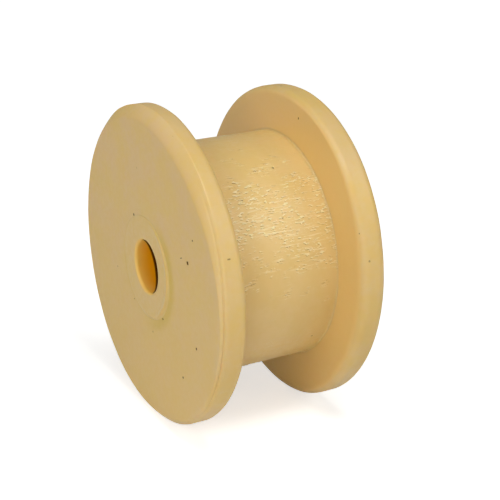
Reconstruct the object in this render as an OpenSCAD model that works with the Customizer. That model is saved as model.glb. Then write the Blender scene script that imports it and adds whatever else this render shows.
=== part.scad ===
// Empty thread spool: two turned nylon flanges, a winding barrel between them and a hub tube pressed through all
// three. The spool lies on its two rims: its axis runs along Y through the origin, and Z is up.
// All sizes are in millimetres.

/* [Flanges] */
// Outer diameter of each flange
flange_d = 48; // [44:0.5:60]
// Thickness of each flange
flange_t = 4.2; // [3.8:0.1:6]
// Rounding of the edge round a flange's outer face
outer_edge_r = 1.4; // [0.4:0.1:1.7]
// Rounding of the edge round a flange's inner face, which the thread is pulled over
inner_edge_r = 1.2; // [0.4:0.1:2]
// Bevel at the mouth of the hole that the hub tube is pressed into
seat_bevel = 0.3; // [0.1:0.05:0.5]

/* [Barrel] */
// Diameter of the surface that the thread is wound on
barrel_d = 35; // [33:0.2:36.4]
// Clear width between the flanges, the length that the thread is wound over
winding_w = 18.2; // [12:0.1:30]
// Rounding where the barrel meets a flange
root_r = 0.3; // [0.2:0.1:1.2]
// Diameter of the spigot at each end of the barrel
spigot_d = 28; // [22:0.5:31]
// Depth that a spigot is sunk into its flange
spigot_h = 1.6; // [0.8:0.1:2]

/* [Hub tube] */
// Bore that the machine's spool pin passes through
bore_d = 8; // [5.5:0.1:10]
// Outer diameter of the hub tube
hub_d = 15.6; // [13:0.2:18]
// How far the hub tube stands out of each flange
hub_proud = 0.4; // [0.3:0.1:1.2]
// Rounding of the hub tube's outer end edges
hub_edge_r = 0.3; // [0.1:0.1:0.3]
// Rounding of the bore's mouths, worn smooth by the spool pin
bore_lip_r = 0.5; // [0.2:0.1:1.2]

/* [Hidden] */
$fn = 180;
flange_r = flange_d / 2;
barrel_r = barrel_d / 2;
spigot_r = spigot_d / 2;
hub_r = hub_d / 2;
bore_r = bore_d / 2;
inner_face_y = winding_w / 2;
outer_face_y = inner_face_y + flange_t;
hub_end_y = outer_face_y + hub_proud;
// A cutter reaches this far past the face that it cuts, so that no skin is left on it
past = 0.5;

// What a rounded corner of radius r takes off the corner at the origin of a section that fills the first quadrant
module corner_round(r) {
    difference() {
        translate([-past, -past])
            square(r + past);
        translate([r, r])
            circle(r);
        translate([r, -2 * past])
            square(2 * past + r);
        translate([-2 * past, r])
            square(2 * past + r);
    }
}

// Turns a section about the spool's axis: x is the radius, and the section's y lies along the spool's Y
module turned() {
    rotate([-90, 0, 0])
        rotate_extrude()
            children();
}

// Section of the flange on the +Y side, from its hole for the hub tube out to its rim
module flange_section() {
    difference() {
        translate([hub_r, inner_face_y])
            square([flange_r - hub_r, flange_t]);
        // rounded edges of the rim
        translate([flange_r, outer_face_y])
            rotate(180)
                corner_round(outer_edge_r);
        translate([flange_r, inner_face_y])
            rotate(90)
                corner_round(inner_edge_r);
        // recess that the barrel's spigot sits in
        translate([hub_r - past, inner_face_y - past])
            square([spigot_r - hub_r + past, spigot_h + past]);
        // bevel round the hub tube's hole
        translate([hub_r, outer_face_y])
            rotate(45)
                square(seat_bevel * sqrt(2), center = true);
    }
}

module right_flange() {
    color([0.84, 0.71, 0.47])
        turned()
            flange_section();
}

module left_flange() {
    color([0.80, 0.67, 0.45])
        mirror([0, 1, 0])
            turned()
                flange_section();
}

// The +Y half of the barrel's section: the wound surface, its flared root and its spigot
module barrel_half_section() {
    translate([hub_r, 0])
        square([barrel_r - hub_r, inner_face_y]);
    translate([hub_r, 0])
        square([spigot_r - hub_r, inner_face_y + spigot_h]);
    translate([barrel_r, inner_face_y])
        rotate(-90)
            difference() {
                translate([0, -past])
                    square([root_r, root_r + past]);
                translate([root_r, root_r])
                    circle(root_r);
            }
}

module winding_barrel() {
    color([0.88, 0.75, 0.50])
        turned() {
            barrel_half_section();
            mirror([0, 1])
                barrel_half_section();
        }
}

// The +Y half of the hub tube's section, with its end edge and the mouth of its bore rounded
module hub_half_section() {
    difference() {
        translate([bore_r, 0])
            square([hub_r - bore_r, hub_end_y]);
        translate([hub_r, hub_end_y])
            rotate(180)
                corner_round(hub_edge_r);
        translate([bore_r, hub_end_y])
            rotate(-90)
                corner_round(bore_lip_r);
    }
}

module hub_tube() {
    color([0.78, 0.62, 0.36])
        turned() {
            hub_half_section();
            mirror([0, 1])
                hub_half_section();
        }
}

left_flange();
right_flange();
winding_barrel();
hub_tube();
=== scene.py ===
import math

import bmesh
import bpy
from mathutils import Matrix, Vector, noise


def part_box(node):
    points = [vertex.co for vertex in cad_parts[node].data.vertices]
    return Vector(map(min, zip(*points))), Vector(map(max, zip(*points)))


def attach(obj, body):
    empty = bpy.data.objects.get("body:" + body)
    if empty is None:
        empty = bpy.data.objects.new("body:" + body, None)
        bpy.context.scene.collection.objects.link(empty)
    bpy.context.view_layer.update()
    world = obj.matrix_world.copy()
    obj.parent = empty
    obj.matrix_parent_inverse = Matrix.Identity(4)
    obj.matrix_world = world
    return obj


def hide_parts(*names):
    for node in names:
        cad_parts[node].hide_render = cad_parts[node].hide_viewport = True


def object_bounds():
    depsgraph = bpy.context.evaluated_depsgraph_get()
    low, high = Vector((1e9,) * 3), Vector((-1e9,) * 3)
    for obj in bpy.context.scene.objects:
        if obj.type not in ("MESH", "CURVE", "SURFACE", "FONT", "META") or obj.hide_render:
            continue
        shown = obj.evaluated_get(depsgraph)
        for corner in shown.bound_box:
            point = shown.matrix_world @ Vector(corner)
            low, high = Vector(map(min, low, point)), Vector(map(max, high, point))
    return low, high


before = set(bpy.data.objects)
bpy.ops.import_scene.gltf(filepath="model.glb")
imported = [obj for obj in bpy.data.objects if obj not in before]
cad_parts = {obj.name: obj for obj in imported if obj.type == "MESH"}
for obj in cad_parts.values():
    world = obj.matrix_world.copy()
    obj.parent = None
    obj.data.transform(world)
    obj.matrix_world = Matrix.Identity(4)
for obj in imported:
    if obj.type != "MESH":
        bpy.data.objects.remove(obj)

cad_low, cad_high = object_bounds()
MM = 0.001

# ---- Camera and studio -------------------------------------------------------------------------------------
# The spool lies on its two rims and is seen from its left end, a little from above. The floor is a plain pale
# sheet that runs out into a white backdrop, and large soft lamps stand round it.
VIEW_AZIMUTH = 61.31
VIEW_ELEVATION = 20.81
VIEW_DISTANCE = 188.24 * MM
LENS = 91.66
SENSOR_WIDTH = 36
# the left flange's outer face is this far from the middle of the view, to the right and up
FACE_RIGHT = -15.38 * MM
FACE_UP = -2.49 * MM
# the rims aren't quite round, and stand this far below the drawn ones
RIM_REACH = 0.2 * MM
FLOOR_SIZE = 6
WHITE = (1, 1, 1, 1)
SHEET_PALE = (0.82, 0.82, 0.81, 1)
# the sheet glows fully far away, where the lamps don't reach it, and less round the spool
NEAR_GLOW = 0.62
NEAR_GLOW_ENDS = 150 * MM
FULL_GLOW_STARTS = 600 * MM
ROOM_LIGHT = 0.01
MIRRORED_WHITE = 0.23
LAMP_DISTANCE = 600 * MM


def direction(azimuth, elevation):
    """The way from the spool to what stands at these angles, in degrees."""
    azimuth = math.radians(azimuth)
    elevation = math.radians(elevation)
    return Vector((math.sin(azimuth) * math.cos(elevation),
                   -math.cos(azimuth) * math.cos(elevation),
                   math.sin(elevation)))


def add_to_scene(thing, location, way):
    """Puts a camera or lamp in the scene, facing against the way that leads from the spool to it."""
    bpy.context.scene.collection.objects.link(thing)
    thing.location = location
    thing.rotation_euler = way.to_track_quat("Z", "Y").to_euler()


back_way = direction(VIEW_AZIMUTH, VIEW_ELEVATION)
right_way = direction(VIEW_AZIMUTH + 90, 0)
up_way = back_way.cross(right_way)
face_centre = Vector((0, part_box("left_flange")[0].y, 0))
camera = bpy.data.objects.new("camera", bpy.data.cameras.new("camera"))
camera_place = face_centre - right_way * FACE_RIGHT - up_way * FACE_UP + back_way * VIEW_DISTANCE
add_to_scene(camera, camera_place, back_way)
camera.data.lens = LENS
camera.data.sensor_width = SENSOR_WIDTH
camera.data.clip_start = 10 * MM
bpy.context.scene.camera = camera
bpy.context.scene.view_settings.view_transform = "Standard"


def white_rays(nodes, links):
    """How white a ray finds the room: fully from the camera or through a piece, and less once mirrored."""
    ray = nodes.new("ShaderNodeLightPath")
    seen = nodes.new("ShaderNodeMath")
    seen.operation = "MULTIPLY_ADD"
    seen.use_clamp = True
    links.new(ray.outputs["Is Glossy Ray"], seen.inputs[0])
    seen.inputs[1].default_value = MIRRORED_WHITE
    links.new(ray.outputs["Is Camera Ray"], seen.inputs[2])
    through = nodes.new("ShaderNodeMath")
    through.operation = "ADD"
    through.use_clamp = True
    links.new(seen.outputs["Value"], through.inputs[0])
    links.new(ray.outputs["Is Transmission Ray"], through.inputs[1])
    return through.outputs["Value"]


bpy.ops.object.select_all(action="DESELECT")
bpy.ops.mesh.primitive_plane_add(size=FLOOR_SIZE, location=(0, 0, cad_low.z - RIM_REACH))
floor = bpy.context.object
floor.name = "floor"
floor_paint = bpy.data.materials.new("floor_paint")
floor_paint.use_nodes = True
nodes = floor_paint.node_tree.nodes
links = floor_paint.node_tree.links
paint = nodes["Principled BSDF"]
paint.inputs["Base Color"].default_value = SHEET_PALE
paint.inputs["Roughness"].default_value = 0.9
paint.inputs["Specular IOR Level"].default_value = 0.1
paint.inputs["Emission Color"].default_value = WHITE
floor_place = nodes.new("ShaderNodeTexCoord")
floor_distance = nodes.new("ShaderNodeVectorMath")
floor_distance.operation = "LENGTH"
links.new(floor_place.outputs["Object"], floor_distance.inputs[0])
far_glow = nodes.new("ShaderNodeMapRange")
links.new(floor_distance.outputs["Value"], far_glow.inputs["Value"])
far_glow.inputs["From Min"].default_value = NEAR_GLOW_ENDS
far_glow.inputs["From Max"].default_value = FULL_GLOW_STARTS
far_glow.inputs["To Min"].default_value = NEAR_GLOW
glow = nodes.new("ShaderNodeMath")
glow.operation = "MULTIPLY"
links.new(white_rays(nodes, links), glow.inputs[0])
links.new(far_glow.outputs["Result"], glow.inputs[1])
links.new(glow.outputs["Value"], paint.inputs["Emission Strength"])
floor.data.materials.append(floor_paint)

world = bpy.data.worlds.new("studio")
bpy.context.scene.world = world
world.use_nodes = True
nodes = world.node_tree.nodes
links = world.node_tree.links
room = nodes["Background"]
room.inputs["Color"].default_value = WHITE
room.inputs["Strength"].default_value = ROOM_LIGHT
backdrop = nodes.new("ShaderNodeBackground")
backdrop.inputs["Color"].default_value = WHITE
choose = nodes.new("ShaderNodeMixShader")
links.new(white_rays(nodes, links), choose.inputs["Fac"])
links.new(room.outputs["Background"], choose.inputs[1])
links.new(backdrop.outputs["Background"], choose.inputs[2])
links.new(choose.outputs["Shader"], nodes["World Output"].inputs["Surface"])

# each lamp's azimuth and elevation, the side of its square, and its watts
for name, azimuth, elevation, size, watts in (
    ("top_lamp", 62, 78, 0.3, 0.9),
    ("right_high_lamp", 95, 65, 0.15, 0.76),
    ("right_low_lamp", 110, 20, 0.2, 0.24),
    ("right_back_lamp", 140, 35, 0.25, 0.73),
    ("left_front_lamp", 30, 35, 0.25, 0.71),
    ("left_lamp", 0, 30, 0.25, 0.25),
    ("left_back_lamp", -45, 30, 0.25, 0.35),
    ("low_lamp", 50, 5, 0.2, 0.74),
):
    lamp = bpy.data.objects.new(name, bpy.data.lights.new(name, "AREA"))
    lamp.data.size = size
    lamp.data.energy = watts
    lamp_way = direction(azimuth, elevation)
    add_to_scene(lamp, lamp_way * LAMP_DISTANCE, lamp_way)

# ---- Left and right flange ---------------------------------------------------------------------------------
# Each flange is a nylon disc turned on a lathe, with rounded rim edges, a recess for the barrel's spigot and
# a bevelled hole that the hub tube is pressed into. The chuck's three jaws left both slightly out of round.
right_low, right_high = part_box("right_flange")
FLANGE_R = right_high.x
OUTER_FACE_Y = right_high.y
INNER_FACE_Y = right_low.y
THICKNESS = OUTER_FACE_Y - INNER_FACE_Y
HUB_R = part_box("hub_tube")[1].x
SPIGOT_END_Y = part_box("winding_barrel")[1].y
SPIGOT_R = 14 * MM
OUTER_EDGE_R = 1.4 * MM
INNER_EDGE_R = 1.2 * MM
SEAT_BEVEL = 0.05 * MM
FLANGE_STEPS = 480
FLANGE_GRAIN = 0.35 * MM
# a point is found within CLOSE of where it is looked for, and points within SAME_POINT are merged
CLOSE = 0.01 * MM
SAME_POINT = 0.001 * MM
# how far over the faces the wear of an edge is felt, and how far in from the rim it also reaches down
OUTER_WEAR_REACH = 5 * OUTER_EDGE_R
INNER_WEAR_REACH = 4 * INNER_EDGE_R
RIM_ZONE = 2 * MM
# an edge wears less deep down the rim than it wears wide over the face
WEAR_DEPTH = 0.3
BEVEL_DEPTH = 0.5
# over 1, this leaves a worn bevel slightly hollow
BEVEL_POWER = 1.4
# the turning tool left a fine groove round part of the left rim, which keeps behind the rounded edge
GROOVE_MIDDLE = -2
GROOVE_SPREAD = 60
GROOVE_WIDTH = 0.1 * MM
GROOVE_BEHIND = 0.35 * MM
GROOVE_SHIFT = 0.45 * MM
# heights in millimetres, and sizes, of the slow waves round the rim, its fine roughness and the face's waves;
# the rim's waves are measured on a circle of radius 1
RIM_WAVES, RIM_WAVE_SIZE = 0.05, 0.22
RIM_ROUGHNESS, RIM_ROUGH_SIZE = 0.012, 1.6 * MM
FACE_WAVES, FACE_WAVE_SIZE = 0.03, 7 * MM
# the roughness begins this far in from the rim, and the waves are full this far out from the hub tube
WAVE_FADE = 3 * MM
# the sloping side of a pit, and how much cleaner it is than the pit's floor
PIT_SLOPE = 0.08 * MM
PIT_SLOPE_CLEAN = 0.5
CREAM = (0.76, 0.52, 0.184, 1)
PINK_CREAM = (0.75, 0.51, 0.215, 1)
GOLDEN_CREAM = (0.76, 0.52, 0.163, 1)
# a painted bounce light on the flanges' inner faces
INNER_BOUNCE_GOLD = (0.815, 0.553, 0.197, 1)
# a painted sheen on the rims
RIM_SHEEN_CREAM = (0.755, 0.533, 0.225, 1)
# a painted shade beside the hub tube's burr
BURR_SHADE_CREAM = (0.7, 0.47, 0.09, 1)
GRIME = (0.10, 0.042, 0.006, 1)


def pick(kind, test):
    """Selects the vertices or edges of the mesh being edited whose middle passes the test."""
    bpy.ops.mesh.select_mode(type=kind)
    bpy.ops.mesh.select_all(action="DESELECT")
    mesh = bmesh.from_edit_mesh(bpy.context.edit_object.data)
    if kind == "VERT":
        for vert in mesh.verts:
            if test(vert.co):
                vert.select_set(True)
    if kind == "EDGE":
        for edge in mesh.edges:
            if test((edge.verts[0].co + edge.verts[1].co) / 2):
                edge.select_set(True)
    mesh.select_flush_mode()
    bmesh.update_edit_mesh(bpy.context.edit_object.data)


def start_section(name, inner_r, outer_r, low_y, high_y):
    """Begins a piece as a flat rectangle: half of the section that a lathe would leave, its axis along Y."""
    middle = ((inner_r + outer_r) / 2, (low_y + high_y) / 2, 0)
    bpy.ops.object.select_all(action="DESELECT")
    bpy.ops.mesh.primitive_plane_add(size=1, location=middle)
    piece = bpy.context.object
    piece.name = name
    piece.data.name = name
    piece.scale = (outer_r - inner_r, high_y - low_y, 1)
    bpy.ops.object.transform_apply(location=True, rotation=True, scale=True)
    bpy.ops.object.mode_set(mode="EDIT")
    return piece


def cut_row(y):
    """Gives the section's outline a point at this height."""
    bpy.ops.mesh.select_all(action="SELECT")
    bpy.ops.mesh.bisect(plane_co=(0, y, 0), plane_no=(0, 1, 0))


def add_step(edge_x, from_y, to_y, new_x):
    """Widens the section from the edge at edge_x to new_x, between two heights."""
    cut_row(from_y)
    cut_row(to_y)
    pick("EDGE", lambda p: abs(p.x - edge_x) < CLOSE and from_y < p.y < to_y)
    bpy.ops.mesh.extrude_region_move(TRANSFORM_OT_translate={"value": (new_x - edge_x, 0, 0)})


def round_corner(x, y, radius, segments, profile=0.5):
    """Rounds the section's corner at x and y; with a profile near 0 it comes out hollow."""
    pick("VERT", lambda p: math.hypot(p.x - x, p.y - y) < CLOSE)
    bpy.ops.mesh.bevel(offset=radius, segments=segments, affect="VERTICES", profile=profile)


def join_section():
    """Makes the section one face, so that only its outline is left to turn."""
    bpy.ops.mesh.select_all(action="SELECT")
    bpy.ops.mesh.remove_doubles(threshold=SAME_POINT)
    bpy.ops.mesh.select_mode(type="FACE")
    bpy.ops.mesh.select_all(action="SELECT")
    bpy.ops.mesh.dissolve_faces()


def turn_section(piece, steps, grain, fine):
    """Turns the section's outline about Y into a closed shell, with points a grain apart where it is fine."""
    bpy.ops.mesh.select_all(action="SELECT")
    bpy.ops.mesh.delete(type="ONLY_FACE")
    mesh = bmesh.from_edit_mesh(piece.data)
    parts_needed = {math.ceil(edge.calc_length() / grain) for edge in mesh.edges}
    for count in sorted(parts_needed - {1}):
        bpy.ops.mesh.select_mode(type="EDGE")
        bpy.ops.mesh.select_all(action="DESELECT")
        mesh = bmesh.from_edit_mesh(piece.data)
        for edge in mesh.edges:
            middle = (edge.verts[0].co + edge.verts[1].co) / 2
            if fine(middle) and math.ceil(edge.calc_length() / grain) == count:
                edge.select_set(True)
        bmesh.update_edit_mesh(piece.data)
        bpy.ops.mesh.subdivide(number_cuts=count - 1)
    bpy.ops.object.mode_set(mode="OBJECT")
    lathe = piece.modifiers.new("lathe", "SCREW")
    lathe.axis = "Y"
    lathe.steps = steps
    lathe.render_steps = steps
    lathe.use_merge_vertices = True
    lathe.merge_threshold = SAME_POINT
    bpy.ops.object.modifier_apply(modifier=lathe.name)
    bpy.ops.object.mode_set(mode="EDIT")
    bpy.ops.mesh.select_all(action="SELECT")
    bpy.ops.mesh.remove_doubles(threshold=SAME_POINT)
    bpy.ops.mesh.normals_make_consistent(inside=False)
    bpy.ops.object.mode_set(mode="OBJECT")
    bpy.ops.object.shade_smooth_by_angle(angle=math.radians(35))


def ease(low, high, value):
    """Rises smoothly from 0 at low to 1 at high."""
    share = min(max((value - low) / (high - low), 0), 1)
    return share * share * (3 - 2 * share)


def hump(turn, middle, spread):
    """1 at the middle, falling to 0 at spread on either side of it, all in degrees."""
    return 1 - ease(0, spread, abs((turn - middle + 180) % 360 - 180))


def clouds(place, size, seed):
    """Smooth unevenness between about -1 and 1, whose patches are of the given size."""
    return noise.noise(place / size + Vector((seed, 0, 0)))


def mark_grime(mesh, stain):
    """Marks the points of the selected faces as this grimy."""
    grime = mesh.verts.layers.float["grime"]
    for face in mesh.faces:
        if face.select:
            for vert in face.verts:
                vert[grime] = stain


def dig_pits(piece, pits):
    """Sinks small pits into the skin, each in the faces that lie round its place, and marks them as grimy.

    A pit is its x, y and z in millimetres, its radius, its depth and how dark the dirt in it is.
    """
    bpy.ops.object.select_all(action="DESELECT")
    piece.select_set(True)
    bpy.context.view_layer.objects.active = piece
    bpy.ops.object.mode_set(mode="EDIT")
    bpy.ops.mesh.select_mode(type="FACE")
    mesh = bmesh.from_edit_mesh(piece.data)
    mesh.verts.layers.float.new("grime")
    for x, y, z, radius, depth, stain in pits:
        place = Vector((x, y, z)) * MM
        bpy.ops.mesh.select_all(action="DESELECT")
        mesh = bmesh.from_edit_mesh(piece.data)
        away = {face: (face.calc_center_median() - place).length for face in mesh.faces}
        reach = max(min(away.values()) + SAME_POINT, radius * MM)
        for face in mesh.faces:
            if away[face] < reach:
                face.select_set(True)
        bmesh.update_edit_mesh(piece.data)
        mark_grime(mesh, stain - PIT_SLOPE_CLEAN)
        bmesh.update_edit_mesh(piece.data)
        bpy.ops.mesh.inset(thickness=PIT_SLOPE, depth=-depth * MM)
        mark_grime(bmesh.from_edit_mesh(piece.data), stain)
    bpy.ops.object.mode_set(mode="OBJECT")


def turn_flange(name, side):
    """One flange as it comes off the lathe; side is 1 on the right and -1 on the left."""
    low_y, high_y = sorted((side * INNER_FACE_Y, side * OUTER_FACE_Y))
    piece = start_section(name, SPIGOT_R, FLANGE_R, low_y, high_y)
    step_low, step_high = sorted((side * SPIGOT_END_Y, side * OUTER_FACE_Y))
    add_step(SPIGOT_R, step_low, step_high, HUB_R)
    join_section()
    round_corner(FLANGE_R, side * OUTER_FACE_Y, OUTER_EDGE_R, segments=24)
    round_corner(FLANGE_R, side * INNER_FACE_Y, INNER_EDGE_R, segments=8)
    round_corner(HUB_R, side * OUTER_FACE_Y, SEAT_BEVEL, segments=2)
    turn_section(piece, FLANGE_STEPS, FLANGE_GRAIN, lambda p: p.x > HUB_R and abs(p.y) > INNER_FACE_Y - CLOSE)
    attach(piece, "root")
    return piece


def widen(distance, edge, share, reach):
    """Where a point this far from a corner goes when the corner's rounding is made wider by the share."""
    if distance < edge:
        return distance * share
    return distance + (share - 1) * edge * (1 - ease(edge, reach, distance))


def worn(turn, wear):
    """How wide an edge's rounding is here beside the drawn one, from the stretches where it is worn.

    A stretch has its middle and its spread, in degrees, and how much wider the rounding is at its middle.
    """
    return 1 + sum(much * hump(turn, middle, spread) for middle, spread, much in wear)


def wear_flange(piece, side, growth, off_centre, lobe_height, lobe_turn, bevelled, groove_depth,
                outer_wear, inner_wear, seed):
    """Makes a flange uneven: off its centre, lobed by the chuck, and more rounded in some places than others.

    Lengths are in millimetres and angles in degrees.
    """
    for vert in piece.data.vertices:
        place = vert.co.copy()
        radius = math.hypot(place.x, place.z)
        in_recess = radius < SPIGOT_R + 0.1 * MM and side * place.y < SPIGOT_END_Y
        if in_recess or radius < HUB_R + 2 * SEAT_BEVEL:
            continue
        angle = math.atan2(place.z, place.x)
        turn = math.degrees(angle)
        outward = Vector((math.cos(angle), 0, math.sin(angle)))
        outer_share = worn(turn, outer_wear)
        inner_share = worn(turn, inner_wear)
        at_rim = radius > FLANGE_R - RIM_ZONE
        behind = OUTER_FACE_Y - side * place.y
        inset = FLANGE_R - radius
        groove = 0
        if behind < THICKNESS / 2:
            if bevelled and inset < OUTER_EDGE_R and behind < OUTER_EDGE_R:
                behind = OUTER_EDGE_R * (1 - inset / OUTER_EDGE_R) ** BEVEL_POWER
            inset = widen(inset, OUTER_EDGE_R, outer_share, OUTER_WEAR_REACH)
            if at_rim:
                deep_share = BEVEL_DEPTH + WEAR_DEPTH * outer_share if bevelled else outer_share
                behind = widen(behind, OUTER_EDGE_R, deep_share, THICKNESS - INNER_EDGE_R)
                past_groove = behind - GROOVE_BEHIND - GROOVE_SHIFT * outer_share
                groove = groove_depth * hump(turn, GROOVE_MIDDLE, GROOVE_SPREAD)
                groove *= math.exp(-(past_groove / GROOVE_WIDTH) ** 2)
        else:
            inset = widen(inset, INNER_EDGE_R, inner_share, INNER_WEAR_REACH)
            if at_rim:
                deep_share = 1 - WEAR_DEPTH + WEAR_DEPTH * inner_share
                before = widen(THICKNESS - behind, INNER_EDGE_R, deep_share, THICKNESS - OUTER_EDGE_R)
                behind = THICKNESS - before
        swell = growth + off_centre[0] * outward.x + off_centre[1] * outward.z
        swell += lobe_height * math.cos(3 * (angle - math.radians(lobe_turn)))
        swell += RIM_WAVES * clouds(outward, RIM_WAVE_SIZE, seed)
        swell *= ease(SPIGOT_R, FLANGE_R - INNER_EDGE_R, radius)
        rough = RIM_ROUGHNESS * clouds(place, RIM_ROUGH_SIZE, seed)
        rough *= ease(FLANGE_R - WAVE_FADE, FLANGE_R, radius)
        waves = FACE_WAVES * clouds(place, FACE_WAVE_SIZE, seed) * ease(HUB_R, HUB_R + WAVE_FADE, radius)
        vert.co = outward * (FLANGE_R - inset + (swell + rough - groove) * MM)
        vert.co.y = side * (OUTER_FACE_Y - behind) + waves * MM


left_flange = turn_flange("left_flange_disc", -1)
wear_flange(left_flange, -1, growth=0, off_centre=(0.08, -0.14), lobe_height=0.17, lobe_turn=-1,
            bevelled=True, groove_depth=0.18,
            outer_wear=[(180, 360, -0.15), (75, 80, 0.65), (-20, 70, -0.7)], inner_wear=[], seed=3.7)
dig_pits(left_flange, [
    (-2.3, -13.3, 14.8, 0.1, 0.05, 0.7), (-3.9, -13.3, 6.95, 0.2, 0.06, 0.9),
    (5.5, -13.3, -6.3, 0.2, 0.05, 0.8), (15.7, -13.3, 9.2, 0.2, 0.06, 0.9),
    (12.1, -13.3, 5.5, 0.2, 0.05, 0.8), (14.2, -13.3, 5.5, 0.24, 0.08, 1.2),
    (-4.8, -13.3, -6.9, 0.2, 0.05, 0.6), (16.5, -13.3, -6.5, 0.2, 0.05, 0.8),
    (12.0, -13.3, -12.9, 0.2, 0.06, 0.8), (8.5, -13.0, 22.4, 0.1, 0.05, 0.7),
    (22.3, -12.3, 8.9, 0.05, 0.04, 0.6), (22.5, -11.4, 8.4, 0.05, 0.04, 0.6),
])
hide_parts("left_flange")
right_flange = turn_flange("right_flange_disc", 1)
wear_flange(right_flange, 1, growth=0.24, off_centre=(-0.04, 0.14), lobe_height=0.19, lobe_turn=50,
            bevelled=False, groove_depth=0,
            outer_wear=[(150, 60, 0.3)], inner_wear=[(55, 45, -0.45), (-15, 55, 0.55)], seed=9.1)
dig_pits(right_flange, [
    (5.8, 9.1, 21.1, 0.2, 0.06, 0.8), (22.7, 9.0, 8.6, 0.1, 0.05, 0.6), (-9.4, 13.3, 12.6, 0.2, 0.06, 0.8),
    (13.8, 13.3, -4.1, 0.2, 0.05, 0.7), (-15.2, 13.3, -8.8, 0.2, 0.06, 0.9),
])
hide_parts("right_flange")


def add_group(name, ins, outs):
    """An empty node group with these sockets; each input comes with its own default."""
    group = bpy.data.node_groups.new(name, "ShaderNodeTree")
    for socket, kind, value in ins:
        made = group.interface.new_socket(socket, in_out="INPUT", socket_type=kind)
        if value is not None:
            made.default_value = value
    for socket, kind in outs:
        group.interface.new_socket(socket, in_out="OUTPUT", socket_type=kind)
    return group, group.nodes.new("NodeGroupInput"), group.nodes.new("NodeGroupOutput")


def feed(tree, value, socket):
    """Links the value to the socket where it comes from another node, and otherwise sets it."""
    if hasattr(value, "is_output"):
        tree.links.new(value, socket)
    else:
        socket.default_value = value


def add_noise(tree, vector, scale, detail=2, roughness=0.5):
    """Cloudy noise around 0.5."""
    made = tree.nodes.new("ShaderNodeTexNoise")
    tree.links.new(vector, made.inputs["Vector"])
    for socket, value in (("Scale", scale), ("Detail", detail), ("Roughness", roughness)):
        feed(tree, value, made.inputs[socket])
    return made.outputs["Fac"]


def add_math(tree, operation, first, second=None):
    """One sum; operations on a single value leave the second out."""
    made = tree.nodes.new("ShaderNodeMath")
    made.operation = operation
    feed(tree, first, made.inputs[0])
    if second is not None:
        feed(tree, second, made.inputs[1])
    return made.outputs["Value"]


def times(tree, first, second):
    return add_math(tree, "MULTIPLY", first, second)


def add_range(tree, value, from_low, from_high, to_low=0, to_high=1):
    """Eases from to_low to to_high while the value goes from from_low to from_high, up or down."""
    made = tree.nodes.new("ShaderNodeMapRange")
    made.interpolation_type = "SMOOTHSTEP"
    tree.links.new(value, made.inputs["Value"])
    bounds = {"From Min": from_low, "From Max": from_high, "To Min": to_low, "To Max": to_high}
    for socket, bound in bounds.items():
        feed(tree, bound, made.inputs[socket])
    return made.outputs["Result"]


def add_mix(tree, share, first, second):
    """Blends two colours; each may be a colour or come from another node."""
    made = tree.nodes.new("ShaderNodeMix")
    made.data_type = "RGBA"
    # the node has a set of sockets for each kind of value, and these are the share's and the colours'
    for number, value in ((0, share), (6, first), (7, second)):
        feed(tree, value, made.inputs[number])
    return made.outputs[2]


def millimetres(tree, stretch=(1, 1, 1)):
    """Object coordinates counted in millimetres, drawn out along an axis where stretch is under 1."""
    place = tree.nodes.new("ShaderNodeTexCoord")
    scale = tree.nodes.new("ShaderNodeMapping")
    scale.inputs["Scale"].default_value = [share / MM for share in stretch]
    tree.links.new(place.outputs["Object"], scale.inputs["Vector"])
    return scale.outputs["Vector"]


def spot_in_millimetres(tree):
    """The outputs X, Y and Z of the place in millimetres, and its distance from the spool's axis."""
    spot = tree.nodes.new("ShaderNodeSeparateXYZ")
    tree.links.new(millimetres(tree), spot.inputs["Vector"])
    squares = [times(tree, spot.outputs[axis], spot.outputs[axis]) for axis in ("X", "Z")]
    from_axis = add_math(tree, "SQRT", add_math(tree, "ADD", squares[0], squares[1]))
    return spot.outputs, from_axis


def read_mark(tree, name):
    """A mark that the mesh carries on its points."""
    mark = tree.nodes.new("ShaderNodeAttribute")
    mark.attribute_name = name
    return mark.outputs["Fac"]


# natural nylon clouds as it ages: wide soft patches and a finer mottle inside them, with a few small specks
PATCH_SHARE = 0.65
PATCHES_PER_MM = 0.16
MOTTLE_PER_MM = 0.9
SPECKS_PER_MM = 0.55
SPECK_DARKNESS = 0.45
aged_nylon, given, made = add_group(
    "aged_nylon",
    [("Place", "NodeSocketVector", None), ("Plain", "NodeSocketColor", CREAM),
     ("Aged", "NodeSocketColor", GOLDEN_CREAM), ("Grime", "NodeSocketFloat", 0.0),
     ("Speck Share", "NodeSocketFloat", 0.03)],
    [("Color", "NodeSocketColor"), ("Dirt", "NodeSocketFloat")])
patches = add_noise(aged_nylon, given.outputs["Place"], PATCHES_PER_MM, 2)
mottle = add_noise(aged_nylon, given.outputs["Place"], MOTTLE_PER_MM, 3, 0.6)
both = add_math(aged_nylon, "ADD", times(aged_nylon, patches, PATCH_SHARE),
                times(aged_nylon, mottle, 1 - PATCH_SHARE))
aged_share = add_range(aged_nylon, both, 0.36, 0.64)
cells = aged_nylon.nodes.new("ShaderNodeTexVoronoi")
cells.inputs["Scale"].default_value = SPECKS_PER_MM
aged_nylon.links.new(given.outputs["Place"], cells.inputs["Vector"])
cell_pick = aged_nylon.nodes.new("ShaderNodeSeparateColor")
aged_nylon.links.new(cells.outputs["Color"], cell_pick.inputs["Color"])
speck_size = add_range(aged_nylon, cell_pick.outputs["Green"], 0, 1, 0.03, 0.11)
speck = times(aged_nylon, add_math(aged_nylon, "LESS_THAN", cells.outputs["Distance"], speck_size),
              add_math(aged_nylon, "LESS_THAN", cell_pick.outputs["Red"], given.outputs["Speck Share"]))
dirt = add_math(aged_nylon, "MAXIMUM", given.outputs["Grime"], times(aged_nylon, speck, SPECK_DARKNESS))
clean = add_mix(aged_nylon, aged_share, given.outputs["Plain"], given.outputs["Aged"])
aged_nylon.links.new(add_mix(aged_nylon, dirt, clean, GRIME), made.inputs["Color"])
aged_nylon.links.new(dirt, made.inputs["Dirt"])

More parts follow.
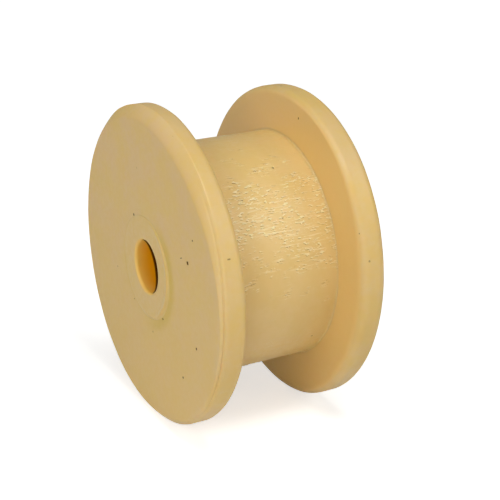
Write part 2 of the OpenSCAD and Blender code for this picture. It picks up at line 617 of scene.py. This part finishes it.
# handling leaves a fine leathery grain and a few faint scratches
SCRATCH_TURN = (0.4, 0.9, 0.6)
SCRATCH_STRETCH = (4.0, 0.18, 4.0)
handled, given, made = add_group(
    "handled_surface",
    [("Place", "NodeSocketVector", None), ("Grain", "NodeSocketFloat", 1.0),
     ("Scratches", "NodeSocketFloat", 1.0)],
    [("Height", "NodeSocketFloat"), ("Wear", "NodeSocketFloat")])
fine_grain = add_noise(handled, given.outputs["Place"], 4.5, 3, 0.6)
soft_grain = add_noise(handled, given.outputs["Place"], 1.3, 2)
turned = handled.nodes.new("ShaderNodeMapping")
turned.inputs["Rotation"].default_value = SCRATCH_TURN
turned.inputs["Scale"].default_value = SCRATCH_STRETCH
handled.links.new(given.outputs["Place"], turned.inputs["Vector"])
scratches = add_range(handled, add_noise(handled, turned.outputs["Vector"], 1.0, 2), 0.66, 0.74)
grain = add_math(handled, "ADD", times(handled, fine_grain, 0.35), soft_grain)
grain_height = times(handled, grain, given.outputs["Grain"])
scratch_depth = times(handled, scratches, given.outputs["Scratches"])
handled.links.new(add_math(handled, "SUBTRACT", grain_height, scratch_depth), made.inputs["Height"])
handled.links.new(add_range(handled, soft_grain, 0.35, 0.65), made.inputs["Wear"])


def add_nylon(name, rough_low, rough_high, bump):
    """A half-gloss natural nylon; returns it, its tree, its shader and the node that holds its colours."""
    material = bpy.data.materials.new(name)
    material.use_nodes = True
    tree = material.node_tree
    plastic = tree.nodes["Principled BSDF"]
    plastic.inputs["IOR"].default_value = 1.53
    plastic.inputs["Subsurface Weight"].default_value = 0.25
    plastic.inputs["Subsurface Radius"].default_value = (1, 0.5, 0.2)
    plastic.inputs["Subsurface Scale"].default_value = 1.2 * MM
    colour = tree.nodes.new("ShaderNodeGroup")
    colour.node_tree = aged_nylon
    surface = tree.nodes.new("ShaderNodeGroup")
    surface.node_tree = handled
    place = millimetres(tree)
    tree.links.new(place, colour.inputs["Place"])
    tree.links.new(place, surface.inputs["Place"])
    gloss = add_range(tree, surface.outputs["Wear"], 0, 1, rough_low, rough_high)
    dirt_roughness = times(tree, colour.outputs["Dirt"], 0.3)
    tree.links.new(add_math(tree, "ADD", gloss, dirt_roughness), plastic.inputs["Roughness"])
    relief = tree.nodes.new("ShaderNodeBump")
    relief.inputs["Distance"].default_value = bump
    tree.links.new(surface.outputs["Height"], relief.inputs["Height"])
    tree.links.new(relief.outputs["Normal"], plastic.inputs["Normal"])
    tree.links.new(colour.outputs["Color"], plastic.inputs["Base Color"])
    return material, tree, plastic, colour


def dull(tree, plastic, share, much):
    """Takes this much off the plastic's reflection where the share is 1."""
    tree.links.new(add_math(tree, "SUBTRACT", 0.5, times(tree, share, much)),
                   plastic.inputs["Specular IOR Level"])


def fill_pits(tree, plastic, colour):
    """Makes the pits dark and dull with grime."""
    grime = add_range(tree, read_mark(tree, "grime"), 0.25, 0.85)
    tree.links.new(grime, colour.inputs["Grime"])
    dull(tree, plastic, grime, 0.4)


flange_nylon, tree, plastic, colour = add_nylon("flange_nylon", 0.41, 0.48, 0.01 * MM)
fill_pits(tree, plastic, colour)
spot, from_axis = spot_in_millimetres(tree)
outside = add_mix(tree, add_range(tree, spot["Z"], -20, 20), CREAM, PINK_CREAM)
# the rims are painted a paler, bluer cream, a painted sheen
rim_sheen = add_range(tree, from_axis, FLANGE_R / MM - 1.6, FLANGE_R / MM - 0.2)
outside = add_mix(tree, rim_sheen, outside, RIM_SHEEN_CREAM)
# a painted shade lies in a darker olive cream beside the hub tube's burr, on the right of the left flange's
# outer face
to_right = add_math(tree, "SUBTRACT", times(tree, spot["X"], 0.8), times(tree, spot["Z"], 0.2))
by_burr = times(tree, add_range(tree, to_right, 0, 6),
                add_range(tree, from_axis, HUB_R / MM + 2.4, HUB_R / MM + 0.8))
on_left_face = add_range(tree, spot["Y"], -OUTER_FACE_Y / MM + 0.8, -OUTER_FACE_Y / MM + 0.3)
burr_shade = times(tree, by_burr, on_left_face)
outside = add_mix(tree, burr_shade, outside, BURR_SHADE_CREAM)
aged_outside = add_mix(tree, burr_shade, GOLDEN_CREAM, BURR_SHADE_CREAM)
# and the inner faces are painted a brighter, warmer gold, a painted bounce light between the flanges and the
# barrel
inner_bounce = add_range(tree, add_math(tree, "ABSOLUTE", spot["Y"]),
                    INNER_FACE_Y / MM + 0.3, INNER_FACE_Y / MM + 0.05)
tree.links.new(add_mix(tree, inner_bounce, outside, INNER_BOUNCE_GOLD), colour.inputs["Plain"])
tree.links.new(add_mix(tree, inner_bounce, aged_outside, INNER_BOUNCE_GOLD), colour.inputs["Aged"])
for flange in (left_flange, right_flange):
    flange.data.materials.append(flange_nylon)

# ---- Winding barrel ----------------------------------------------------------------------------------------
# The barrel is a thick nylon tube, drawn through a die, so fine lines run along it, and its skin is broken by
# small bumps, painted with pale glints and with dark painted shadows below them. A spigot is turned on each
# end, and a little is left standing in the corners beside it.
ROOT_R = 0.3 * MM
BARREL_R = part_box("winding_barrel")[1].x - ROOT_R
BARREL_STEPS = 720
BARREL_GRAIN = 0.17 * MM
HOLLOW_PROFILE = 0.03
# the bumps are thickest along three lines, 120 degrees apart, and the first of them is at this angle
BUMPY_TURN = 35
# heights in millimetres, and sizes, of the lines, waves and bumps, and how much they are drawn out
LINE_HEIGHT, LINE_SIZE, LINE_STRETCH = 0.005, 0.35 * MM, 0.05
WAVE_HEIGHT, WAVE_SIZE = 0.025, 5 * MM
BUMP_HEIGHT, BUMP_SIZE, BUMP_STRETCH = 0.07, 0.36 * MM, 0.35
FIBRES_PER_MM = 4.4
FIBRE_STRETCH = (1, 0.3, 1)
PALE_CREAM = (0.8, 0.566, 0.226, 1)
WARM_CREAM = (0.78, 0.545, 0.194, 1)
# the pale cream of the painted glints on the torn fibres
GLINT_CREAM = (1.0, 0.84, 0.48, 1)
# the dark brown of the painted shadows below the torn fibres
FIBRE_SHADOW_BROWN = (0.42, 0.23, 0.05, 1)

barrel = start_section("winding_barrel_tube", HUB_R, BARREL_R, -INNER_FACE_Y, INNER_FACE_Y)
for side in (-1, 1):
    low_y, high_y = sorted((side * (INNER_FACE_Y - ROOT_R), side * INNER_FACE_Y))
    add_step(BARREL_R, low_y, high_y, BARREL_R + ROOT_R)
for side in (-1, 1):
    corner_y = side * (INNER_FACE_Y - ROOT_R)
    round_corner(BARREL_R + ROOT_R, corner_y, ROOT_R, segments=5, profile=HOLLOW_PROFILE)
for side in (-1, 1):
    pick("EDGE", lambda p: abs(p.y - side * INNER_FACE_Y) < CLOSE and p.x < BARREL_R)
    spigot = (0, side * (SPIGOT_END_Y - INNER_FACE_Y), 0)
    bpy.ops.mesh.extrude_region_move(TRANSFORM_OT_translate={"value": spigot})
    pick("VERT", lambda p: p.y * side > INNER_FACE_Y + CLOSE and p.x > SPIGOT_R)
    bpy.ops.transform.translate(value=(SPIGOT_R - BARREL_R, 0, 0))
join_section()
turn_section(barrel, BARREL_STEPS, BARREL_GRAIN,
             lambda p: p.x > BARREL_R - CLOSE and abs(p.y) < INNER_FACE_Y - CLOSE)
bumpiness = barrel.data.attributes.new("bumpiness", "FLOAT", "POINT")
for vert in barrel.data.vertices:
    place = vert.co.copy()
    radius = math.hypot(place.x, place.z)
    if radius < BARREL_R - 0.1 * MM:
        continue
    outward = Vector((place.x, 0, place.z)) / radius
    angle = math.atan2(place.z, place.x)
    bumpy = 0.5 + 0.5 * math.cos(3 * (angle - math.radians(BUMPY_TURN)))
    bumpy = ease(0.3, 0.75, 0.75 * bumpy + 0.6 * clouds(place, 2 * MM, 5.3))
    bumpiness.data[vert.index].value = bumpy
    lines = LINE_HEIGHT * clouds(Vector((place.x, place.y * LINE_STRETCH, place.z)), LINE_SIZE, 1.9)
    waves = WAVE_HEIGHT * clouds(place, WAVE_SIZE, 8.8)
    rough = clouds(Vector((place.x, place.y * BUMP_STRETCH, place.z)), BUMP_SIZE, 2.2)
    bumps = BUMP_HEIGHT * ease(0.15, 0.6, rough) * bumpy
    vert.co += outward * (lines + waves + bumps) * MM
dig_pits(barrel, [
    (-2.8, 1.3, 17.3, 0.15, 0.1, 0.8), (8.7, 3.3, 15.2, 0.18, 0.1, 0.8), (11.4, -1.7, 13.3, 0.12, 0.06, 0.6),
    (12.3, -3.8, 12.5, 0.17, 0.1, 0.8), (14.6, 1.5, 9.6, 0.16, 0.08, 0.7), (15.4, -2.6, 8.2, 0.12, 0.06, 0.6),
    (-15.5, 3.9, 8.1, 0.2, 0.1, 0.8), (-10.2, -4.4, -14.2, 0.22, 0.12, 0.8), (3.1, 5.0, -17.2, 0.2, 0.1, 0.7),
])
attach(barrel, "root")
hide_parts("winding_barrel")


def feeding(socket):
    """The output that this input is linked to."""
    return socket.links[0].from_socket


barrel_nylon, tree, plastic, colour = add_nylon("barrel_nylon", 0.3, 0.42, 0.014 * MM)
colour.inputs["Plain"].default_value = PALE_CREAM
colour.inputs["Aged"].default_value = WARM_CREAM
fill_pits(tree, plastic, colour)
bumpy = read_mark(tree, "bumpiness")
die_lines = add_noise(tree, millimetres(tree, (1, 0.12, 1)), 3.2, 3, 0.6)
fibre_place = millimetres(tree, FIBRE_STRETCH)
fibres = add_noise(tree, fibre_place, FIBRES_PER_MM)
# a painted shadow lies just below each torn fibre, in dark brown
shift = tree.nodes.new("ShaderNodeMapping")
shift.inputs["Location"].default_value = (-0.05, 0.03, 0.1)
tree.links.new(fibre_place, shift.inputs["Vector"])
shadow_shape = add_noise(tree, shift.outputs["Vector"], FIBRES_PER_MM)
fibre_shadow = times(tree, add_range(tree, shadow_shape, 0.6, 0.66), bumpy)
skin = add_mix(tree, times(tree, fibre_shadow, 0.85), colour.outputs["Color"], FIBRE_SHADOW_BROWN)
# torn fibres and the longest of the drawn lines are painted a pale cream, as painted glints
long_lines = add_noise(tree, millimetres(tree, (1, 0.06, 1)), FIBRES_PER_MM)
drawn = times(tree, add_range(tree, long_lines, 0.58, 0.68), bumpy)
glints = times(tree, add_range(tree, fibres, 0.575, 0.615), bumpy)
glints = add_math(tree, "MAXIMUM", glints, times(tree, drawn, 0.45))
tree.links.new(add_mix(tree, glints, skin, GLINT_CREAM), plastic.inputs["Base Color"])
# they stand up from the skin and shine
torn = times(tree, times(tree, add_range(tree, fibres, 0.55, 0.75), bumpy), 4.5)
shine = times(tree, add_range(tree, torn, 0.2, 1.2), 0.2)
roughness = plastic.inputs["Roughness"]
tree.links.new(add_math(tree, "SUBTRACT", feeding(roughness), shine), roughness)
relief = feeding(plastic.inputs["Normal"]).node.inputs["Height"]
lines_and_tears = add_math(tree, "ADD", times(tree, die_lines, 1.2), torn)
tree.links.new(add_math(tree, "ADD", feeding(relief), lines_and_tears), relief)
barrel.data.materials.append(barrel_nylon)

# ---- Hub tube ----------------------------------------------------------------------------------------------
# The hub tube is pressed through flanges and barrel and stands out at both ends as a low ring. Its bore turns
# on the spool pin. Its wall is painted amber, deeper further in, a painted glow and shade inside the bore,
# and a painted shadow of the lip lies on it behind a slanting line.
BORE_R = 4 * MM
HUB_END_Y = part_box("hub_tube")[1].y
HUB_EDGE_R = 0.08 * MM
BORE_LIP_R = 0.5 * MM
HUB_STEPS = 240
HUB_GRAIN = 0.4 * MM
# the left end was sawn off nearly flush and out of square, which left its face a little rough
SAWN_OFF = 0.37
SAWN_TILT = 0.05
SAWN_ROUGHNESS, SAWN_ROUGH_SIZE = 0.02, 2.5 * MM
# the saw left a soft burr round the rim on the right, drawn out over the flange, so far and so high
BURR_OUT = 0.5
BURR_UP = 0.27
BURR_WIDTH = 1.2 * MM
# the rows of the rounded edge are spread over the burr this many times as wide
BURR_SPREAD = 9
BURR_FOOT_Y = -OUTER_FACE_Y + 0.02 * MM
# and the burr is curled up at one place
FLAP_TURN = -46
FLAP_SPREAD = 24
FLAP_UP = 0.15
# the painted glow of the bore's wall, pale at the mouth and a deeper amber further in
PALE_GLOW_AMBER = (0.98, 0.62, 0.13, 1)
DEEP_GLOW_AMBER = (0.98, 0.43, 0.005, 1)
# the dark of the lip's painted shadow on the bore's wall
LIP_SHADOW_DARK = (0.1, 0.035, 0.002, 1)

hub = start_section("hub_tube_liner", BORE_R, HUB_R, -HUB_END_Y, HUB_END_Y)
for side in (-1, 1):
    round_corner(HUB_R, side * HUB_END_Y, HUB_EDGE_R, segments=5)
    round_corner(BORE_R, side * HUB_END_Y, BORE_LIP_R, segments=6)
turn_section(hub, HUB_STEPS, HUB_GRAIN, lambda p: True)
for vert in hub.data.vertices:
    place = vert.co.copy()
    radius = math.hypot(place.x, place.z)
    outward = Vector((place.x, 0, place.z)) / radius
    near_end = 1 - ease(-OUTER_FACE_Y, -OUTER_FACE_Y + 2 * MM, place.y)
    vert.co.y += near_end * (SAWN_OFF - SAWN_TILT * place.x / HUB_R) * MM
    proud = 1 - ease(-HUB_END_Y, -OUTER_FACE_Y + 0.05 * MM, place.y)
    burr = proud * max(0.8 * outward.x - 0.2 * outward.z + 0.1, 0) * ease(HUB_R - BURR_WIDTH, HUB_R, radius)
    flap = burr * hump(math.degrees(math.atan2(place.z, place.x)), FLAP_TURN, FLAP_SPREAD)
    rough = SAWN_ROUGHNESS * near_end * clouds(place, SAWN_ROUGH_SIZE, 6.1)
    vert.co.y += (rough - BURR_UP * burr - FLAP_UP * flap) * MM
    from_edge = HUB_R - radius
    if place.y < -HUB_END_Y + HUB_EDGE_R + SAME_POINT and from_edge < HUB_EDGE_R - SAME_POINT:
        # the rounded edge is drawn out into the burr, which runs down smoothly to the flange's face
        down_share = 1 - from_edge / HUB_EDGE_R
        vert.co += outward * (BURR_OUT * MM - BURR_SPREAD * from_edge) * burr
        vert.co.y -= HUB_EDGE_R * (1 - math.sqrt(1 - min(down_share, 1) ** 2))
        vert.co.y += (BURR_FOOT_Y - vert.co.y) * ease(0, 1, down_share)
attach(hub, "root")
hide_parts("hub_tube")

hub_nylon, tree, plastic, colour = add_nylon("hub_nylon", 0.34, 0.46, 0.012 * MM)
spot, from_axis = spot_in_millimetres(tree)
from_end = add_math(tree, "SUBTRACT", HUB_END_Y / MM, add_math(tree, "ABSOLUTE", spot["Y"]))
in_bore = add_range(tree, from_axis, BORE_R / MM + 0.4, BORE_R / MM + 0.05)
on_wall = add_range(tree, from_axis, BORE_R / MM + 0.12, BORE_R / MM + 0.02)
# further in from the end the wall is painted a deeper amber, a painted glow and shade inside the bore
deep_in_bore = times(tree, in_bore, add_range(tree, from_end, 0.1, 3.0))
# a painted shadow of the bore's lip: a dark band behind a slanting line on the wall, fading further in
slant = add_math(tree, "ADD", times(tree, spot["X"], 0.64), times(tree, spot["Z"], 0.27))
from_line = add_math(tree, "ADD", from_end, slant)
lip_shadow_band = times(tree, add_range(tree, from_line, 0.5, 0.72), add_range(tree, from_line, 2.2, 1.0, 0.25, 1))
deep = times(tree, on_wall, lip_shadow_band)
dull(tree, plastic, add_math(tree, "MAXIMUM", deep_in_bore, deep), 0.45)
# each cream turns to the bore's painted glow, and then to the dark of the lip's painted shadow
for cream, socket in ((CREAM, "Plain"), (GOLDEN_CREAM, "Aged")):
    mouth = add_mix(tree, in_bore, cream, PALE_GLOW_AMBER)
    amber = add_mix(tree, deep_in_bore, mouth, DEEP_GLOW_AMBER)
    tree.links.new(add_mix(tree, deep, amber, LIP_SHADOW_DARK), colour.inputs[socket])
hub.data.materials.append(hub_nylon)
